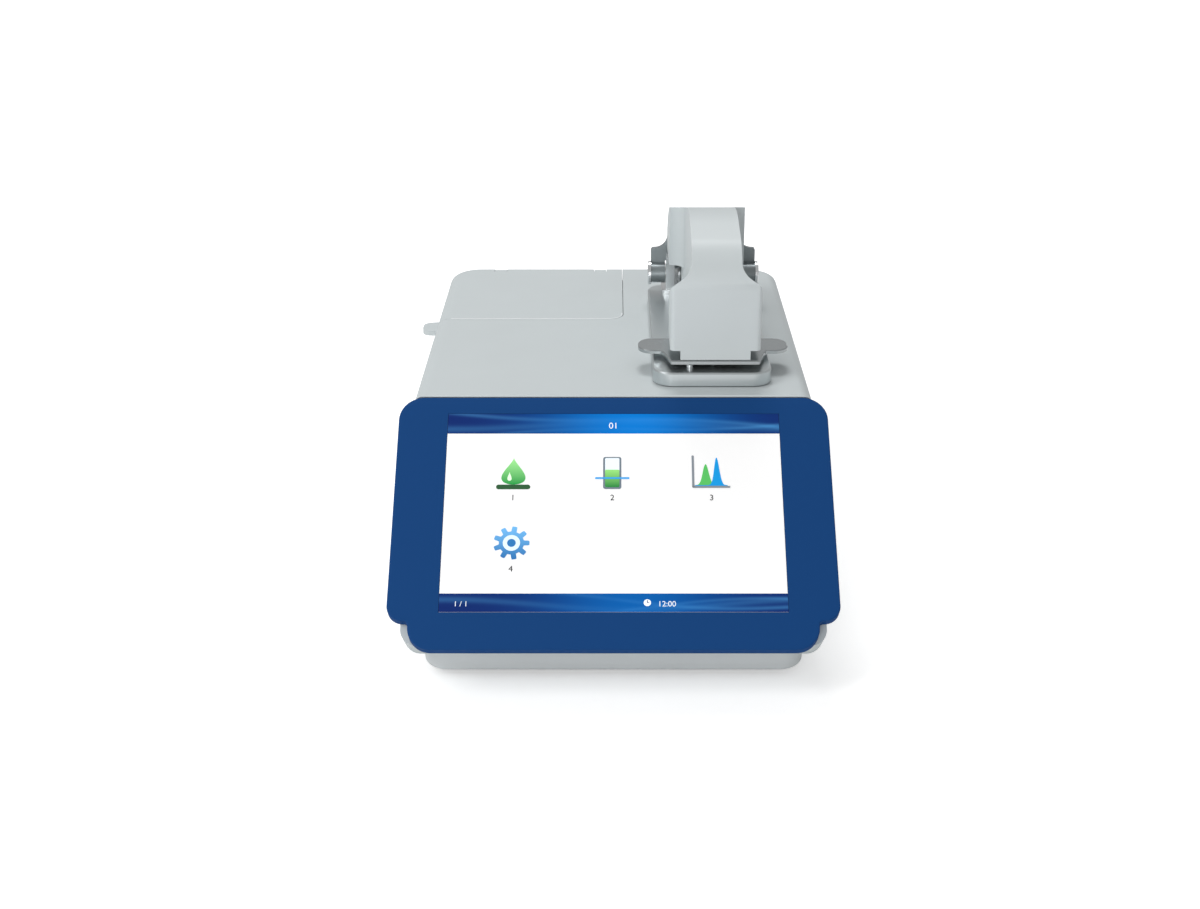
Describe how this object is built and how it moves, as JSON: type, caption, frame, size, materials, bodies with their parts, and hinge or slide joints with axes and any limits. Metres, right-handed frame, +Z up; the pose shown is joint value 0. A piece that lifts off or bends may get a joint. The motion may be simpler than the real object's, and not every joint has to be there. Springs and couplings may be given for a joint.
{
  "type": "microvolume spectrophotometer",
  "caption": "Bench spectrophotometer with a slanted touch screen, a hinged sample arm that lifts, and a hinged lid over a cuvette well.",
  "frame": {"origin": "on the bench, under the middle of the instrument", "axes": "+X to the user's right, +Y to the rear, +Z up; the screen faces -Y"},
  "size_m": [0.2103, 0.3205, 0.1857],
  "materials": {
    "housing": "satin",
    "tray": "satin",
    "fascia": "gloss",
    "glass": "polished",
    "display": "matte",
    "sheet_metal": "brushed",
    "dark_metal": "anodised",
    "steel": "brushed",
    "screw": "brushed",
    "rubber": "matte",
    "board": "satin",
    "part_black": "matte",
    "optic": "polished",
    "fibre": "satin",
    "bronze": "satin",
    "foam": "matte"
  },
  "bodies": {
    "instrument": {"bottom_tray": "tray", "rubber_feet": "rubber", "upper_housing": "housing", "housing_screws": "screw", "front_fascia": "fascia", "touch_panel": "glass", "display_module": "display", "display_bracket": "sheet_metal", "fascia_screws": "screw", "rear_panel": "tray", "rear_panel_screws": "screw", "dc_jack": "part_black", "usb_sockets": "steel", "switch_body": "part_black", "mainboard": "board", "board_standoffs": "bronze", "board_components": "part_black", "chassis": "sheet_metal", "chassis_screws": "screw", "spectrometer_case": "dark_metal", "spectrometer_lid": "dark_metal", "diffraction_grating": "optic", "spectrometer_mirrors": "optic", "sensor_board": "board", "spectrometer_fibre": "fibre", "lamp_housing": "dark_metal", "flash_lamp": "steel", "lamp_fibre": "fibre", "arm_base_plate": "dark_metal", "base_gasket": "rubber", "base_plate_screws": "screw", "lower_pedestal": "steel", "hinge_bracket": "steel", "hinge_bracket_screws": "screw", "hinge_bushes": "bronze", "stepper_motor": "part_black", "motor_bracket": "sheet_metal", "cuvette_deck": "part_black", "deck_screws": "screw", "cuvette_holder": "part_black", "cuvette_led_board": "board", "cuvette_sensor_board": "board", "lid_seal": "foam", "lid_hinge_pins": "steel"},
    "arm": {"arm_frame": "dark_metal", "arm_cover": "housing", "arm_underside": "tray", "arm_screws": "screw", "lift_plate": "steel", "lift_plate_screws": "screw", "upper_pedestal": "steel", "arm_fibre": "fibre", "hinge_pin": "steel", "hinge_end_caps": "steel"},
    "lid": {"cuvette_lid": "housing"},
    "rocker": {"switch_rocker": "part_black"},
    "plunger": {"path_plunger": "steel"},
    "lead_screw": {"lead_screw": "steel"}
  },
  "joints": [
    {"name": "arm_hinge", "type": "hinge", "parent": "instrument", "child": "arm", "pos_m": [0.0504, 0.088, 0.1293], "axis": [-1, 0, 0], "range_deg": [0, 80]},
    {"name": "lid_hinge", "type": "hinge", "parent": "instrument", "child": "lid", "pos_m": [-0.038, 0.1535, 0.105], "axis": [-1, 0, 0], "range_deg": [0, 100]},
    {"name": "rocker_hinge", "type": "hinge", "parent": "instrument", "child": "rocker", "pos_m": [0.02, 0.1575, 0.047], "axis": [1, 0, 0], "range_deg": [0, 18]},
    {"name": "plunger_slide", "type": "slide", "parent": "instrument", "child": "plunger", "axis": [0, 0, -1], "range_m": [0, 0.00095]},
    {"name": "lead_screw_turn", "type": "hinge", "parent": "instrument", "child": "lead_screw", "pos_m": [0.038, -0.039, 0.085], "axis": [0, 0, 1], "range_deg": [0, 342.1]}
  ],
  "couplings": [
    {"joint": "lead_screw_turn", "follows": "plunger_slide", "rad_per_m": 6283.2}
  ]
}
